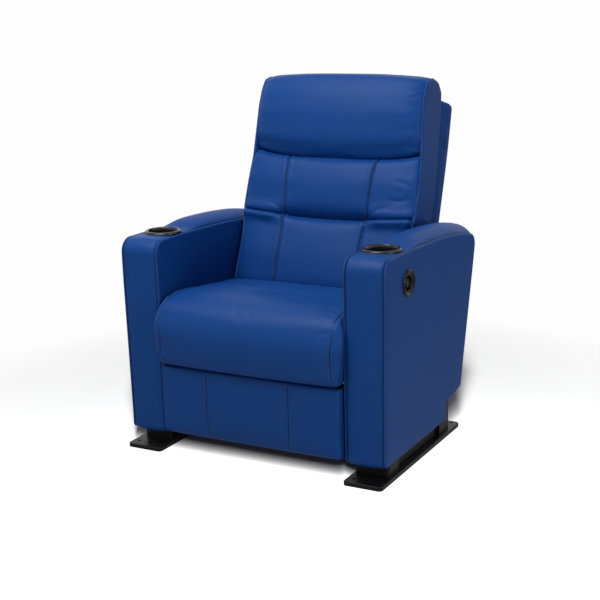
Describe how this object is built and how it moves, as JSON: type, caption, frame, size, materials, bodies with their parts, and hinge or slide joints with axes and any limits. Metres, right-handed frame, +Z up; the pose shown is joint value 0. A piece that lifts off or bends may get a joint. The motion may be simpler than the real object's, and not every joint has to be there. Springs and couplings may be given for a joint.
{
  "type": "cinema recliner seat",
  "caption": "Free-standing reclining cinema seat with padded box arms, a cup holder in each, a pull release and a folding footrest.",
  "frame": {"origin": "centre of the floor bolts, on the floor", "axes": "+X to the sitter's left, -Y the way the sitter faces, +Z up"},
  "size_m": [0.8445, 0.8876, 1.0621],
  "materials": {
    "leather": "satin",
    "cushion": "satin",
    "shell_leather": "satin",
    "black_plastic": "gloss",
    "black_steel": "satin",
    "zinc_steel": "satin",
    "spring_steel": "satin",
    "cable": "matte",
    "board": "matte"
  },
  "bodies": {
    "base": {"left_floor_plate": "black_steel", "right_floor_plate": "black_steel", "left_front_leg": "black_steel", "right_front_leg": "black_steel", "left_rear_leg": "black_steel", "right_rear_leg": "black_steel", "left_side_rail": "black_steel", "right_side_rail": "black_steel", "front_cross_tube": "black_steel", "rear_cross_tube": "black_steel", "leg_bolts": "zinc_steel", "left_base_plate": "black_steel", "right_base_plate": "black_steel", "base_pins": "zinc_steel", "left_arm_inner_panel": "leather", "right_arm_inner_panel": "leather", "left_arm_outer_panel": "leather", "right_arm_outer_panel": "leather", "left_arm_border": "leather", "right_arm_border": "leather", "left_arm_frame": "board", "right_arm_frame": "board", "left_cup_holder": "black_plastic", "right_cup_holder": "black_plastic", "handle_bezel": "black_plastic", "handle_pin": "zinc_steel", "handle_spring": "spring_steel", "release_cable": "cable"},
    "handle": {"handle_paddle": "black_plastic"},
    "front_swing": {"front_swing_links": "black_steel"},
    "rear_swing": {"rear_swing_links": "black_steel"},
    "seat": {"left_seat_side_plate": "black_steel", "right_seat_side_plate": "black_steel", "seat_pins": "zinc_steel", "left_seat_side_rail": "board", "right_seat_side_rail": "board", "seat_front_rail": "board", "seat_rear_rail": "board", "seat_springs": "spring_steel", "seat_cushion": "cushion"},
    "drive": {"drive_links": "black_steel", "drive_tube": "black_steel", "drive_link_pins": "zinc_steel"},
    "guide": {"guide_links": "black_steel"},
    "fore": {"fore_links": "black_steel", "fore_link_pins": "zinc_steel"},
    "control": {"control_links": "black_steel"},
    "footrest": {"footrest_brackets": "black_steel", "bracket_pins": "zinc_steel", "footrest_board": "board", "footrest_pad": "cushion"},
    "back": {"back_brackets": "black_steel", "back_uprights": "board", "back_rails": "board", "back_springs": "spring_steel", "lower_back_cushion": "cushion", "middle_back_cushion": "cushion", "headrest_pillow": "cushion", "back_shell": "shell_leather"}
  },
  "joints": [
    {"name": "handle_pull", "type": "hinge", "parent": "base", "child": "handle", "pos_m": [0.408, -0.116, 0.538], "axis": [0, 1, 0], "range_deg": [0, 25], "stiffness_Nm_per_rad": 0.3},
    {"name": "front_swing", "type": "hinge", "parent": "base", "child": "front_swing", "pos_m": [0, -0.032, 0.15], "axis": [-1, 0, 0], "range_deg": [-38.01, 0]},
    {"name": "rear_swing", "type": "hinge", "parent": "base", "child": "rear_swing", "pos_m": [0, 0.138, 0.15], "axis": [-1, 0, 0], "range_deg": [-38.01, 0]},
    {"name": "seat_level", "type": "hinge", "parent": "front_swing", "child": "seat", "pos_m": [0, 0.00381, 0.25401], "axis": [-1, 0, 0], "range_deg": [0, 38.01]},
    {"name": "back_recline", "type": "hinge", "parent": "seat", "child": "back", "pos_m": [0, 0.193, 0.3], "axis": [-1, 0, 0], "range_deg": [0, 35]},
    {"name": "footrest_extend", "type": "hinge", "parent": "seat", "child": "drive", "pos_m": [0, -0.112, 0.272], "axis": [-1, 0, 0], "range_deg": [0, 96]},
    {"name": "guide_turn", "type": "hinge", "parent": "seat", "child": "guide", "pos_m": [0, -0.15334, 0.30012], "axis": [-1, 0, 0], "range_deg": [0, 96.01]},
    {"name": "fore_turn", "type": "hinge", "parent": "drive", "child": "fore", "pos_m": [0, -0.00379, 0.07018], "axis": [-1, 0, 0], "range_deg": [-96.01, 0]},
    {"name": "control_turn", "type": "hinge", "parent": "drive", "child": "control", "pos_m": [0, -0.02741, 0.11425], "axis": [-1, 0, 0], "range_deg": [-96.01, 0]},
    {"name": "footrest_turn", "type": "hinge", "parent": "fore", "child": "footrest", "pos_m": [0, -0.20199, 0.20498], "axis": [-1, 0, 0], "range_deg": [0, 96.01]}
  ],
  "couplings": [
    {"joint": "front_swing", "follows": "back_recline", "ratio": -1.0857},
    {"joint": "rear_swing", "follows": "back_recline", "ratio": -1.0857},
    {"joint": "seat_level", "follows": "back_recline", "ratio": 1.0857},
    {"joint": "guide_turn", "follows": "footrest_extend", "ratio": 1},
    {"joint": "fore_turn", "follows": "footrest_extend", "ratio": -1},
    {"joint": "control_turn", "follows": "footrest_extend", "ratio": -1},
    {"joint": "footrest_turn", "follows": "footrest_extend", "ratio": 1}
  ]
}
